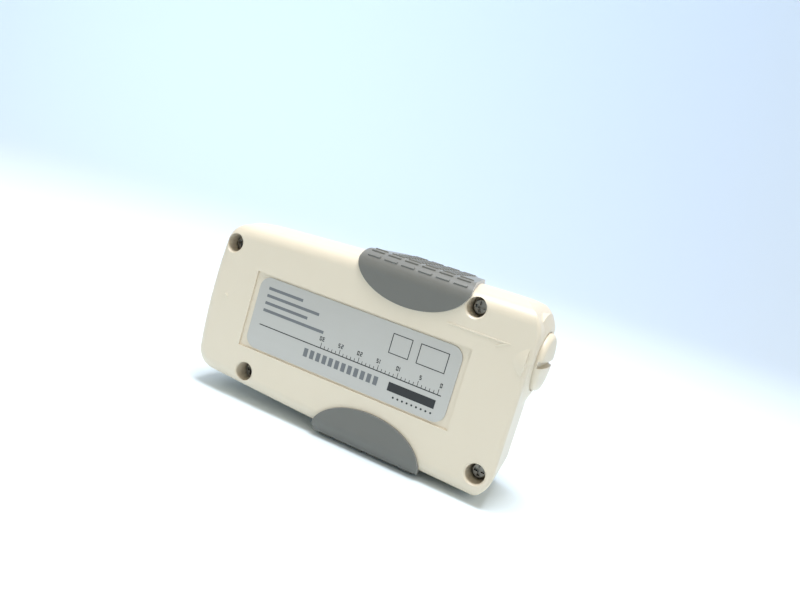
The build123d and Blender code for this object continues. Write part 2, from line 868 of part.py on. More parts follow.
finish(battery_cap.part, "battery_cap")

with BuildPart() as cap_o_ring:
    ring_radius = neck_radius + ring_seat / 2
    with BuildSketch(battery_spin()):
        with Locations((ring_radius, mouth_x - ring_seat / 2)):
            Circle(o_ring_section / 2)
    revolve(axis=battery_axis)
finish(cap_o_ring.part, "cap_o_ring")

with BuildPart() as cap_contact:
    contact_radius = cap_bore_diameter / 2 - close_fit
    add(tube_hole(contact_radius, spring_seat_x, mouth_x))
finish(cap_contact.part, "cap_contact")

with BuildPart() as cap_spring:
    half_wire = spring_wire / 2
    turn_step = 2 * pi / spring_wire_sides
    wire_section = [
        (half_wire * cos(step * turn_step), half_wire * sin(step * turn_step))
        for step in range(spring_wire_sides)
    ]
    coil_length = spring_length - spring_wire - 2 * close_fit
    coil_start_x = cells_end_x + spring_wire / 2 + close_fit
    spring_pitch = coil_length / spring_turns
    add(wound(spring_pitch, coil_start_x, coil_length, spring_diameter / 2, wire_section))
finish(cap_spring.part, "cap_spring")

for number, name in enumerate(cell_names):
    cell_end_x = cells_end_x - number * cell_length
    can_start_x = cell_end_x - cell_length + cell_nub_length
    with BuildPart() as cell:
        add(tube_hole(cell_diameter / 2, can_start_x, cell_end_x))
        fillet(cell.edges().filter_by(GeomType.CIRCLE), cell_corner)
        add(tube_hole(cell_nub_diameter / 2, cell_end_x - cell_length, can_start_x + cell_corner))
    finish(cell.part, name)

strip_y = battery_y + tube_outer + close_fit
strip_low_z = middle_z + battery_height - strip_width / 2
strip_high_z = strip_low_z + strip_width
with BuildPart() as positive_contact:
    disc_x = cells_start_x - contact_thickness
    foot_x = board_start_x + strip_foot
    add(tube_hole(tube_radius - close_fit, disc_x, cells_start_x))
    disc_edge = (disc_x, battery_y, strip_low_z)
    add(cut_block(disc_edge, (cells_start_x, strip_y + strip_thickness, strip_high_z)))
    add(cut_block((disc_x, strip_y, strip_low_z), (foot_x, strip_y + strip_thickness, strip_high_z)))
    add(cut_block((foot_x, strip_y, strip_low_z), (foot_x + strip_thickness, board_back_y, strip_high_z)))
finish(positive_contact.part, "positive_contact")

with BuildPart() as negative_strip:
    strip_end_x = mouth_back_x - close_fit
    foot_edge = (strip_foot_x, strip_y, strip_low_z)
    add(cut_block(foot_edge, (strip_end_x, strip_y + strip_thickness, strip_high_z)))
    add(
        cut_block(
            (strip_foot_x - strip_thickness, strip_y, strip_low_z),
            (strip_foot_x, board_back_y, strip_high_z),
        )
    )
finish(negative_strip.part, "negative_strip")


# ------------------------------------------------- board, display and keys
def spherical_cap(diameter, height):
    """Shallow dome standing on z = 0."""
    radius = diameter / 2
    with BuildPart() as dome:
        with BuildSketch(Plane.XZ):
            with BuildLine():
                ThreePointArc((-radius, 0), (0, height), (radius, 0))
                Line((radius, 0), (-radius, 0))
            make_face()
            Rectangle(radius, height, align=(Align.MIN, Align.MIN), mode=Mode.INTERSECT)
        revolve(axis=Axis.Z)
    return dome.part


board_centre_x = (board_start_x + board_end_x) / 2
with BuildPart() as main_board:
    with BuildSketch(at_depth(board_back_y)):
        with Locations((board_centre_x, 0)):
            Rectangle(board_end_x - board_start_x, board_width)
        with Locations(*board_screw_places):
            Circle(board_screw_diameter / 2 + close_fit, mode=Mode.SUBTRACT)
    extrude(amount=-board_thickness)
finish(main_board.part, "main_board")

board_screw_length = board_thickness + board_screw_reach
board_screw_size = (board_screw_head, board_screw_head_height, board_screw_diameter, board_screw_length)
board_screws = screws_at(board_screw_places, board_back_y, -1, board_screw_size)
finish(board_screws, "board_screws")

flex_socket_centre_x = flex_end_x + close_fit + flex_socket_length / 2
with BuildPart() as board_chips:
    with BuildSketch(at_depth(board_back_y)):
        with Locations((flex_socket_centre_x, 0)):
            Rectangle(flex_socket_length, flex_width + 2 * flex_socket_end)
        with Locations((board_start_x + processor_place, chip_height)):
            Rectangle(processor_side, processor_side)
        with Locations((board_start_x + memory_place, chip_height)):
            Rectangle(memory_length, memory_width)
    extrude(amount=chip_thickness)
    with BuildSketch(at_depth(board_back_y)):
        with Locations((board_start_x + crystal_place, chip_height)):
            SlotOverall(crystal_length, crystal_width, rotation=90)
        with GridLocations(capacitor_pitch, 2 * capacitor_length, capacitor_columns, 1):
            with Locations((board_start_x + processor_place, chip_height + processor_side)):
                Rectangle(capacitor_width, capacitor_length)
    extrude(amount=capacitor_thickness)
finish(board_chips.part, "board_chips")

dome = spherical_cap(dome_diameter, dome_height)
with BuildPart() as switch_domes:
    with Locations(*[Location((x, board_face_y, middle_z + up), (-90, 0, 0)) for x, up in key_centres]):
        add(dome)
finish(switch_domes.part, "switch_domes")

pocket_grow = key_flange + gasket_gap
gasket_length = 2 * (key_half_length + pocket_grow + gasket_wall)
gasket_width = 2 * (key_spread + key_half_width + pocket_grow + gasket_wall)
frame_top_y = inner_front_y - close_fit
with BuildPart() as key_gasket:
    with BuildSketch(at_depth(board_face_y)):
        with Locations((key_x, 0)):
            RectangleRounded(gasket_length, gasket_width, gasket_corner)
    extrude(amount=-(frame_top_y - board_face_y))
    with BuildSketch(at_depth(board_face_y + gasket_floor)):
        with Locations(*key_centres):
            Ellipse(key_half_length + pocket_grow, key_half_width + pocket_grow)
    extrude(amount=-case_depth, mode=Mode.SUBTRACT)
    with BuildSketch(at_depth(board_face_y)):
        with Locations(*key_centres):
            Circle(dome_diameter / 2 + gasket_gap)
    extrude(amount=-gasket_floor, mode=Mode.SUBTRACT)
finish(key_gasket.part, "key_gasket")

flange_y = frame_top_y - key_flange_height
stem_end_y = board_face_y + dome_height + key_travel + 2 * close_fit
for name, centre in zip(("zero_key", "start_key"), key_centres):
    with BuildPart() as key:
        with BuildSketch(at_depth(flange_y)):
            with Locations(centre):
                Ellipse(key_half_length, key_half_width)
        extrude(amount=-(front_y + key_proud - flange_y))
        fillet(key.edges().sort_by(Axis.Y)[-1], key_crown)
        with BuildSketch(at_depth(flange_y)):
            with Locations(centre):
                Ellipse(key_half_length + key_flange, key_half_width + key_flange)
        extrude(amount=-key_flange_height)
        with BuildSketch(at_depth(stem_end_y)):
            with Locations(centre):
                Circle(key_stem_diameter / 2)
        extrude(amount=-(flange_y - stem_end_y))
    finish(key.part, name)

glass_back_y = board_face_y + connector_height
glass_front_y = glass_back_y + glass_thickness
with BuildPart() as lcd_connectors:
    with BuildSketch(at_depth(board_face_y)):
        with Locations((display_x, 0)):
            with GridLocations(glass_length - 2 * connector_width, 0, 2, 1):
                Rectangle(connector_width, glass_width - connector_width)
    extrude(amount=-connector_height)
finish(lcd_connectors.part, "lcd_connectors")

with BuildPart() as lcd_glass:
    with BuildSketch(at_depth(glass_back_y)):
        with Locations((display_x, 0)):
            Rectangle(glass_length, glass_width)
    extrude(amount=-glass_thickness)
finish(lcd_glass.part, "lcd_glass")

glass_seat_length = glass_length + 2 * close_fit
glass_seat_width = glass_width + 2 * close_fit
with BuildPart() as lcd_frame:
    with BuildSketch(at_depth(board_face_y)):
        with Locations((display_x, 0)):
            Rectangle(glass_seat_length + 2 * display_frame_wall, glass_seat_width + 2 * display_frame_wall)
            Rectangle(window_length, window_width, mode=Mode.SUBTRACT)
    extrude(amount=-(frame_top_y - board_face_y))
    with BuildSketch(at_depth(board_face_y)):
        with Locations((display_x, 0)):
            Rectangle(glass_seat_length, glass_seat_width)
    extrude(amount=-(glass_front_y + close_fit - board_face_y), mode=Mode.SUBTRACT)
finish(lcd_frame.part, "lcd_frame")

with BuildPart() as lcd_window:
    with BuildSketch(at_depth(panel_floor_y)):
        with Locations((display_x, 0)):
            Rectangle(window_length, window_width)
    extrude(amount=window_thickness)
finish(lcd_window.part, "lcd_window")

with BuildPart() as face_panel:
    with BuildSketch(at_depth(panel_floor_y)):
        with Locations((panel_centre_x, 0)):
            RectangleRounded(panel_length - 2 * close_fit, panel_width - 2 * close_fit, panel_corner)
        with Locations((display_x, 0)):
            Rectangle(opening_length, opening_width, mode=Mode.SUBTRACT)
        with Locations(*key_centres):
            Ellipse(key_half_length + key_gap, key_half_width + key_gap, mode=Mode.SUBTRACT)
    extrude(amount=-panel_thickness)
finish(face_panel.part, "face_panel")


# -------------------------------------------------- sample stage and optics
def beam_spin(side, reach):
    """Plane for turned pieces on a light beam: local y runs outwards along it."""
    square = beam_plane(side, reach)
    return Plane(origin=square.origin, x_dir=square.x_dir, z_dir=square.x_dir.cross(square.z_dir))


def beam_rod(side, radius, start, end):
    """Cylinder on a light beam."""
    return lathe([(0, start), (radius, start), (radius, end), (0, end)], beam_spin(side, 0))


def lens(side, reach):
    """Biconvex lens on a light beam, its inner face's top at the given reach."""
    radius = lens_diameter / 2
    low_edge = (lens_thickness - lens_edge) / 2
    high_edge = low_edge + lens_edge
    with BuildPart() as glass:
        with BuildSketch(beam_spin(side, reach)):
            with BuildLine():
                ThreePointArc((-radius, low_edge), (0, 0), (radius, low_edge))
                Line((radius, low_edge), (radius, high_edge))
                ThreePointArc((radius, high_edge), (0, lens_thickness), (-radius, high_edge))
                Line((-radius, high_edge), (-radius, low_edge))
            make_face()
            Rectangle(radius, lens_thickness, align=(Align.MIN, Align.MIN), mode=Mode.INTERSECT)
        revolve(axis=Axis(beam_spin(side, reach).origin, beam_spin(side, reach).y_dir))
    return glass.part


def prism_wedge(grow=0.0):
    """Lower body of the prism: its two slanted faces are square to the beams."""
    half_length = prism_length / 2 + grow
    depth = prism_depth + grow
    tip = half_length - depth / tan(radians(beam_angle))
    corners = [(-half_length, 0), (half_length, 0), (tip, -depth), (-tip, -depth)]
    with BuildPart() as wedge:
        with BuildSketch(Plane(origin=(stage_x, prism_shoulder_y, middle_z))):
            with BuildLine():
                Polyline(*corners, close=True)
            make_face()
        extrude(amount=prism_width / 2 + grow, both=True)
    return wedge.part


hub_y = inner_front_y - stage_pad_depth
stage_radius = stage_diameter / 2
hub_radius = stage_hub_diameter / 2
flange_floor_y = rim_y - stage_flange
dish_radius = dish_floor_diameter / 2
shoulder_radius = prism_shoulder_diameter / 2
lip_y = dish_y - dish_lip
prism_neck_y = lip_y - prism_seal_height
prism_shoulder_y = prism_neck_y - prism_shoulder_height
clamp_y = prism_shoulder_y - clamp_thickness
block_y = hub_y - block_flange_height
seal_room = stage_seal_section + 2 * close_fit
screw_offset = optics_screw_circle / 2 * sin(pi / 4)
optics_screw_places = [
    (stage_x + across * screw_offset, up * screw_offset) for across in (-1, 1) for up in (-1, 1)
]

with BuildPart() as stage_ring:
    ring_profile = [
        (dish_radius, dish_y),
        (stage_radius - stage_rim, rim_y),
        (stage_radius, rim_y),
        (stage_radius, flange_floor_y),
        (hub_radius, flange_floor_y),
        (hub_radius, hub_y),
        (shoulder_radius + prism_fit, hub_y),
        (shoulder_radius + prism_fit, lip_y),
        (dish_radius, lip_y),
    ]
    add(lathe(ring_profile, stage_spin()))
    fillet(stage_ring.edges().filter_by(GeomType.CIRCLE).sort_by(Axis.Y)[-2:], stage_edge_round)
    with BuildSketch(at_depth(flange_floor_y)):
        with Locations((stage_x, 0)):
            Circle((stage_seal_diameter + seal_room) / 2)
            Circle((stage_seal_diameter - seal_room) / 2, mode=Mode.SUBTRACT)
    extrude(amount=-seal_room, mode=Mode.SUBTRACT)
    with BuildSketch(at_depth(hub_y)):
        with Locations(*optics_screw_places):
            Circle(optics_screw_diameter / 2)
    extrude(amount=-optics_screw_reach, mode=Mode.SUBTRACT)
finish(stage_ring.part, "stage_ring")

with BuildPart() as stage_seal:
    with BuildSketch(stage_spin()):
        with Locations((stage_seal_diameter / 2, flange_floor_y + seal_room / 2)):
            Circle(stage_seal_section / 2)
    revolve(axis=Axis((stage_x, 0, middle_z), (0, 1, 0)))
finish(stage_seal.part, "stage_seal")

with BuildPart() as prism:
    prism_profile = [
        (0, prism_shoulder_y),
        (shoulder_radius, prism_shoulder_y),
        (shoulder_radius, prism_neck_y),
        (prism_face_diameter / 2, prism_neck_y),
        (prism_face_diameter / 2, prism_face_y),
        (0, prism_face_y),
    ]
    add(lathe(prism_profile, stage_spin()))
    add(prism_wedge())
finish(prism.part, "prism")

with BuildPart() as prism_seal:
    with BuildSketch(at_depth(prism_neck_y)):
        with Locations((stage_x, 0)):
            Circle(shoulder_radius)
            Circle(prism_face_diameter / 2 + prism_fit, mode=Mode.SUBTRACT)
    extrude(amount=-prism_seal_height)
finish(prism_seal.part, "prism_seal")

with BuildPart() as prism_clamp:
    with BuildSketch(at_depth(clamp_y)):
        with Locations((stage_x, 0)):
            Circle(clamp_diameter / 2)
            Rectangle(prism_length + 2 * prism_fit, prism_width + 2 * prism_fit, mode=Mode.SUBTRACT)
    extrude(amount=-clamp_thickness)
finish(prism_clamp.part, "prism_clamp")

slope = radians(beam_angle)
face_centre_x = beam_length * sin(slope)
face_centre_y = prism_face_y - beam_length * cos(slope)
half_length = block_length / 2
shoulder_y = face_centre_y + (half_length - face_centre_x) * tan(slope)
bottom_x = face_centre_x - (face_centre_y - block_back_y) / tan(slope)
block_outline = [
    (-half_length, block_y),
    (-half_length, shoulder_y),
    (-bottom_x, block_back_y),
    (bottom_x, block_back_y),
    (half_length, shoulder_y),
    (half_length, block_y),
]
thermistor_height = -optics_screw_circle / 2
with BuildPart() as optical_block:
    with BuildSketch(at_depth(block_y)):
        with Locations((stage_x, 0)):
            Circle(block_flange_diameter / 2)
        with Locations(*optics_screw_places):
            Circle(optics_screw_diameter / 2 + close_fit, mode=Mode.SUBTRACT)
        with Locations((stage_x, thermistor_height)):
            Circle(thermistor_diameter / 2 + close_fit, mode=Mode.SUBTRACT)
    extrude(amount=-block_flange_height)
    with BuildSketch(Plane(origin=(stage_x, 0, middle_z))):
        with BuildLine():
            Polyline(*block_outline, close=True)
        make_face()
    extrude(amount=block_width / 2, both=True)
    with BuildSketch(at_depth(clamp_y)):
        with Locations((stage_x, 0)):
            Circle(clamp_diameter / 2 + close_fit)
    extrude(amount=-block_flange_height, mode=Mode.SUBTRACT)
    add(prism_wedge(chamber_gap), mode=Mode.SUBTRACT)
    for side, seat in ((-1, slit_reach), (1, imaging_reach)):
        add(beam_rod(side, beam_neck / 2, beam_neck, beam_length), mode=Mode.SUBTRACT)
        add(beam_rod(side, beam_bore / 2, seat, 2 * beam_length), mode=Mode.SUBTRACT)
    with BuildSketch(beam_plane(1, beam_length)):
        Rectangle(sensor_width + 2 * sensor_room, sensor_length + 2 * sensor_room)
    extrude(amount=-(sensor_thickness + close_fit), mode=Mode.SUBTRACT)
finish(optical_block.part, "optical_block")

holder_inner = beam_length - lamp_holder_length
lamp_start = beam_length - lamp_length
with BuildPart() as lamp_holder:
    holder_profile = [
        (lamp_diameter / 2 + close_fit, holder_inner),
        (beam_bore / 2 - close_fit, holder_inner),
        (beam_bore / 2 - close_fit, beam_length),
        (beam_bore / 2 + lamp_holder_rim, beam_length),
        (beam_bore / 2 + lamp_holder_rim, beam_length + lamp_holder_rim),
        (lamp_diameter / 2 + close_fit, beam_length + lamp_holder_rim),
    ]
    add(lathe(holder_profile, beam_spin(-1, 0)))
finish(lamp_holder.part, "lamp_holder")

with BuildPart() as led_lamp:
    add(beam_rod(-1, lamp_diameter / 2, lamp_start + lamp_diameter / 2, beam_length))
    with Locations(beam_plane(-1, lamp_start + lamp_diameter / 2).origin):
        Sphere(lamp_diameter / 2)
    with BuildSketch(beam_plane(-1, beam_length)):
        with GridLocations(0, lamp_lead_spacing, 1, 2):
            Circle(lamp_lead_diameter / 2)
    extrude(amount=lamp_lead_length)
finish(led_lamp.part, "led_lamp")

with BuildPart() as slit_plate:
    with BuildSketch(beam_plane(-1, slit_reach)):
        Circle(lens_diameter / 2)
        Rectangle(lens_diameter / 2, slit_opening, mode=Mode.SUBTRACT)
    extrude(amount=slit_thickness)
finish(slit_plate.part, "slit_plate")

condenser_lens = lens(-1, condenser_reach)
finish(condenser_lens, "condenser_lens")
imaging_lens = lens(1, imaging_reach)
finish(imaging_lens, "imaging_lens")

with BuildPart() as line_sensor:
    with BuildSketch(beam_plane(1, beam_length)):
        Rectangle(sensor_width, sensor_length)
    extrude(amount=-sensor_thickness)
finish(line_sensor.part, "line_sensor")

with BuildPart() as sensor_board:
    with BuildSketch(beam_plane(1, beam_length)):
        with Locations((0, sensor_board_shift)):
            Rectangle(block_width, sensor_board_length)
    extrude(amount=sensor_board_thickness)
finish(sensor_board.part, "sensor_board")

with BuildPart() as flex_cable:
    lift = sensor_board_thickness + flex_thickness / 2
    start_x = (beam_length + lift) * sin(slope) + flex_landing * cos(slope)
    start_y = prism_face_y - (beam_length + lift) * cos(slope) + flex_landing * sin(slope)
    flat_y = board_back_y - flex_thickness / 2
    corner_x = start_x + (flat_y - start_y) / tan(slope)
    with BuildSketch(Plane(origin=(stage_x, 0, middle_z))):
        with BuildLine():
            FilletPolyline(
                (start_x, start_y), (corner_x, flat_y), (flex_end_x - stage_x, flat_y), radius=flex_bend
            )
        trace(line_width=flex_thickness)
    extrude(amount=flex_width / 2, both=True)
finish(flex_cable.part, "flex_cable")

with BuildPart() as thermistor:
    with BuildSketch(at_depth(hub_y)):
        with Locations((stage_x, thermistor_height)):
            Circle(thermistor_diameter / 2)
    extrude(amount=thermistor_length)
    with BuildSketch(at_depth(hub_y - thermistor_length)):
        with Locations((stage_x, thermistor_height)):
            with GridLocations(thermistor_diameter / 2, 0, 2, 1):
                Circle(lamp_lead_diameter / 2)
    extrude(amount=lamp_lead_length)
finish(thermistor.part, "thermistor")

optics_screw_length = block_flange_height + optics_screw_reach
optics_screw_size = (
    optics_screw_head,
    optics_screw_head_height,
    optics_screw_diameter,
    optics_screw_length,
)
optics_screws = screws_at(optics_screw_places, block_y, -1, optics_screw_size)
finish(optics_screws, "optics_screws")
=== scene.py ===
# %% [markdown]
# # A pocket refractometer, dressed in Blender
# The solids of this instrument already exist, one mesh for each real piece, at their true size.
# This notebook gives each piece its finish, adds the thin printed matter that has no solid of
# its own, and lights the whole thing like a small product in a bowl of paper.
# The solids themselves are never moved: in Blender it is easy to nudge a mesh by accident,
# so everything added here is a new object placed beside them.

# %% Load the solids
import math

import bpy
from mathutils import Matrix, Vector


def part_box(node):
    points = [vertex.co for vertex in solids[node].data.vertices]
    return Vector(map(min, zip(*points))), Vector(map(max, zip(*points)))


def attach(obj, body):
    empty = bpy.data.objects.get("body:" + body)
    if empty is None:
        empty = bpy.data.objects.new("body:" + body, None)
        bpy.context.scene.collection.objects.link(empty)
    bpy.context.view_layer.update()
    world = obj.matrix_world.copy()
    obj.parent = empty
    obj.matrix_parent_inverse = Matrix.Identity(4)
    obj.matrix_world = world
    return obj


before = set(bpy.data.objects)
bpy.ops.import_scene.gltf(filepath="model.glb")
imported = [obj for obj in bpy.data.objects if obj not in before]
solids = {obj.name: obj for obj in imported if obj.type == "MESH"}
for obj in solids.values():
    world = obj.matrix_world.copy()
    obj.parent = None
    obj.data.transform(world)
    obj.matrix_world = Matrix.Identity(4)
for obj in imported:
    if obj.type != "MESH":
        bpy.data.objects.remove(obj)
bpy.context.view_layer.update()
MM = 0.001
print("solids loaded:", len(solids))

# %% [markdown]
# ## Places
# A print has to lie exactly on the face that carries it. So the label, the display, the panel and
# the keys are measured from their solids, and a changed solid moves what is printed on it too.
# A box is a lowest and a highest corner, in metres, the unit that Blender works in. The panel
# needs only the highest, because its marks lie on its outer face.

# %% Measure the places that the prints sit on
label_low, label_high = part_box("rating_label")
glass_low, glass_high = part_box("lcd_glass")
panel_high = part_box("face_panel")[1]
zero_low, zero_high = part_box("zero_key")
start_low, start_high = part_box("start_key")
label_centre = (label_low + label_high) / 2
glass_centre = (glass_low + glass_high) / 2
print("label is", [round(v / MM, 1) for v in label_high - label_low], "mm")

# %% [markdown]
# ## Shading
# A mesh from a CAD program is made of flat facets. Smooth shading blends the light across
# neighbouring facets; edges sharper than a set angle stay crisp, as a real moulded edge does.

# %% Shade smooth, keep real edges crisp
CREASE = math.radians(28)
for solid in solids.values():
    solid.data.shade_smooth()
    solid.data.set_sharp_from_angle(angle=CREASE)
print("crease angle:", round(math.degrees(CREASE)), "degrees")

# %% [markdown]
# ## Colour
# A colour picker shows sRGB values, but a renderer adds up light, so it needs linear values.
# One function turns the familiar six-digit code into those.


# %% sRGB hex to linear
def linear(hex_code):
    channels = [int(hex_code[i : i + 2], 16) / 255 for i in (1, 3, 5)]
    bent = [c / 12.92 if c <= 0.04045 else ((c + 0.055) / 1.055) ** 2.4 for c in channels]
    return (*bent, 1.0)


print("mid grey is", [round(c, 3) for c in linear("#808080")])

# %% [markdown]
# ## Materials
# Every material below is one Principled shader. What differs is the base colour, how rough the
# surface is, and a small pattern that stands for how it was made. One short function adds any
# kind of node with its settings and its links, and another feeds a node's result into the
# shader, so the recipes read from top to bottom.


# %% Start a material, add a node
def start_material(name, colour, roughness, metallic=0.0, ior=None):
    material = bpy.data.materials.new(name)
    material.use_nodes = True
    shader = shader_of(material)
    shader.inputs["Base Color"].default_value = linear(colour)
    shader.inputs["Roughness"].default_value = roughness
    shader.inputs["Metallic"].default_value = metallic
    if ior is not None:
        shader.inputs["IOR"].default_value = ior
    return material


def add_node(material, kind, settings=(), links=()):
    tree = material.node_tree
    node = tree.nodes.new(kind)
    for key, value in dict(settings).items():
        if key in node.inputs:
            node.inputs[key].default_value = value
        else:
            setattr(node, key, value)
    for socket, source in dict(links).items():
        tree.links.new(source, node.inputs[socket])
    return node


def shader_of(material):
    return material.node_tree.nodes["Principled BSDF"]


def feed_shader(material, socket, source):
    material.node_tree.links.new(source, shader_of(material).inputs[socket])


def dress(material, *names):
    for name in names:
        solids[name].data.materials.clear()
        solids[name].data.materials.append(material)
    print(material.name, "->", ", ".join(names))


# %% [markdown]
# ### Moulded ABS, ivory
# The case is ABS plastic, moulded in a steel tool whose faces were spark eroded to a fine matt
# grain. The eye reads it as warm off-white with a broad soft sheen and no sharp reflection.
# The real grain is about 0.05 mm, too fine for this picture, so the noise is drawn at
# 0.4 mm and kept very shallow.

# %% ABS with a spark-eroded grain
abs_ivory = start_material("ABS ivory, spark-eroded matt", "#D8CDB9", 0.42, ior=1.54)
GRAIN = 0.4 * MM
DENT_DEPTH = 0.05 * MM
places = add_node(abs_ivory, "ShaderNodeTexCoord")
grain = add_node(
    abs_ivory,
    "ShaderNodeTexNoise",
    {"Scale": 1 / GRAIN, "Detail": 3.0, "Roughness": 0.6},
    {"Vector": places.outputs["Object"]},
)
dents = add_node(
    abs_ivory,
    "ShaderNodeBump",
    {"Strength": 0.05, "Distance": DENT_DEPTH},
    {"Height": grain.outputs["Fac"]},
)
feed_shader(abs_ivory, "Normal", dents.outputs["Normal"])
dress(abs_ivory, "back_case", "front_case", "battery_cap")

# %% [markdown]
# ### Thermoplastic rubber, grey
# The two grips are a soft rubber. Rubber is dull because its surface is rough at every scale.
# A middling roughness spreads each highlight wide, and the faint mottling is the tool's grain.
# Sheen stands for the pale bloom that such rubber shows where it is seen at a flat angle.

# %% Grip rubber
grip_rubber = start_material("TPE rubber grey, matt moulded", "#676762", 0.48, ior=1.5)
shader_of(grip_rubber).inputs["Sheen Weight"].default_value = 0.7
shader_of(grip_rubber).inputs["Sheen Roughness"].default_value = 0.4
MOTTLE = 0.5 * MM
places = add_node(grip_rubber, "ShaderNodeTexCoord")
mottle = add_node(
    grip_rubber,
    "ShaderNodeTexNoise",
    {"Scale": 1 / MOTTLE, "Detail": 2.0},
    {"Vector": places.outputs["Object"]},
)
dents = add_node(
    grip_rubber,
    "ShaderNodeBump",
    {"Strength": 0.08, "Distance": DENT_DEPTH},
    {"Height": mottle.outputs["Fac"]},
)
feed_shader(grip_rubber, "Normal", dents.outputs["Normal"])
dress(grip_rubber, "upper_grip", "lower_grip")

# %% [markdown]
# ### Metallised polyester film
# The rating plate is a sticker of aluminised film with a satin face. It is mostly a metal to the
# eye, but a scattering one, so the roughness lies well above a mirror's. A noise stretched along
# the film varies it a little, like the fine streaks that rolling leaves.

# %% Silver label film
silver_film = start_material("Polyester film, aluminised satin", "#B5B2AC", 0.34, metallic=0.8)
STREAKS_PER_MM = (0.05, 1.0, 2.2)
places = add_node(silver_film, "ShaderNodeTexCoord")
stretch = add_node(
    silver_film,
    "ShaderNodeMapping",
    {"Scale": tuple(count / MM for count in STREAKS_PER_MM)},
    {"Vector": places.outputs["Object"]},
)
streaks = add_node(
    silver_film,
    "ShaderNodeTexNoise",
    {"Scale": 1.0, "Detail": 2.0},
    {"Vector": stretch.outputs["Vector"]},
)
gloss = add_node(
    silver_film,
    "ShaderNodeMapRange",
    {"To Min": 0.32, "To Max": 0.42},
    {"Value": streaks.outputs["Fac"]},
)
feed_shader(silver_film, "Roughness", gloss.outputs["Result"])
dress(silver_film, "rating_label")

# %% [markdown]
# ### Metals
# A metal's colour is the colour of its reflection, so metallic is 1 and the base colour is
# what you would see in a mirror made of it. Plating, drawing and turning differ mostly in
# roughness. The default index of refraction stays, because a metal doesn't use it that way.
# Black anodising is a dyed oxide skin on the metal, so it lies between a metal and a plastic.

# %% Zinc, phosphate, nickel, spring wire, stainless steel
zinc_steel = start_material("Steel, zinc plated", "#A8A9A6", 0.34, metallic=1.0)
phosphated = start_material("Steel, zinc phosphated", "#85827B", 0.42, metallic=1.0)
nickel = start_material("Brass, nickel plated", "#C9C3B6", 0.22, metallic=1.0)
spring_wire = start_material("Spring steel wire, drawn", "#9C9C9E", 0.28, metallic=1.0)
stainless = start_material("Stainless steel, turned", "#BEBFC1", 0.24, metallic=1.0)
black_anodised = start_material("Aluminium, black anodised", "#151517", 0.45, metallic=0.6)
dress(zinc_steel, "board_screws", "optics_screws")
dress(phosphated, "case_screws")
dress(nickel, "cap_contact", "positive_contact", "negative_strip", "switch_domes")
dress(spring_wire, "cap_spring")
dress(black_anodised, "prism_clamp", "optical_block", "slit_plate")

# %% [markdown]
# The sample dish is turned on a lathe, and the tool leaves very fine rings. A wave texture in
# ring form, centred on the dish, follows them. The real pitch is near 0.05 mm, far too fine to
# show, so the rings are drawn as soft swells 1.9 mm apart. At scale 1 that texture repeats every
# tenth of pi, and dividing this by the pitch gives the scale to set.

# %% Turning rings on the dish
stage_low, stage_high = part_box("stage_ring")
stage_centre = (stage_low + stage_high) / 2
RING_PITCH = 1.885 * MM
RING_HEIGHT = 0.02 * MM
WAVE_REPEAT = math.pi / 10
places = add_node(stainless, "ShaderNodeTexCoord")
centred = add_node(
    stainless,
    "ShaderNodeMapping",
    {"Location": tuple(-v for v in stage_centre)},
    {"Vector": places.outputs["Object"]},
)
rings = add_node(
    stainless,
    "ShaderNodeTexWave",
    {
        "wave_type": "RINGS",
        "rings_direction": "Y",
        "Scale": WAVE_REPEAT / RING_PITCH,
        "Distortion": 0.0,
    },
    {"Vector": centred.outputs["Vector"]},
)
ridges = add_node(
    stainless,
    "ShaderNodeBump",
    {"Strength": 0.06, "Distance": RING_HEIGHT},
    {"Height": rings.outputs["Fac"]},
)
feed_shader(stainless, "Normal", ridges.outputs["Normal"])
dress(stainless, "stage_ring")

# %% [markdown]
# ### Plastics, rubbers and glass inside
# Most of these are hidden until the case is opened, but each still gets its own finish, so
# that an exploded view looks right too.

# %% Dark mouldings and seals
black_abs = start_material("Polycarbonate black, moulded", "#26272A", 0.40, ior=1.58)
black_rubber = start_material("Nitrile rubber, black", "#131313", 0.55, ior=1.52)
grey_silicone = start_material("Silicone rubber, grey", "#A3A5A8", 0.50, ior=1.43)
key_blue = start_material("ABS blue-grey, satin", "#33455E", 0.33, ior=1.54)
overlay = start_material("Polyester overlay, slate satin", "#4A535E", 0.30, ior=1.57)
dress(black_abs, "battery_sleeve", "lcd_frame", "lamp_holder")
dress(black_rubber, "case_seal", "cap_o_ring", "stage_seal", "prism_seal")
dress(grey_silicone, "key_gasket", "lcd_connectors")
dress(key_blue, "zero_key", "start_key")
dress(overlay, "face_panel")

# %% [markdown]
# The cells, the boards and the amber flat cable bring the only strong colours. A solder mask is a
# thin lacquer over glass cloth, and a shrink sleeve is glossy where it lies tight on the can.

# %% Cells, boards and parts on them
cell_jacket = start_material("PVC shrink sleeve, green", "#2F6B4F", 0.28, ior=1.54)
solder_mask = start_material("Glass epoxy board, green solder mask", "#1E5B33", 0.32, ior=1.55)
chip_epoxy = start_material("Moulding epoxy, black", "#1B1B1C", 0.5, ior=1.55)
flex_film = start_material("Polyimide film, amber", "#B8752A", 0.3, ior=1.7)
sensor_body = start_material("Ceramic, dark grey", "#45464A", 0.4, ior=1.76)
dress(cell_jacket, "outer_cell", "inner_cell")
dress(solder_mask, "main_board", "sensor_board")
dress(chip_epoxy, "board_chips", "thermistor")
dress(flex_film, "flex_cable")
dress(sensor_body, "line_sensor")

# %% [markdown]
# Clear pieces let light through instead of scattering it: transmission is 1 and the
# roughness almost 0. The prism is a dense glass with a high index, which is the very thing
# that lets the instrument work.

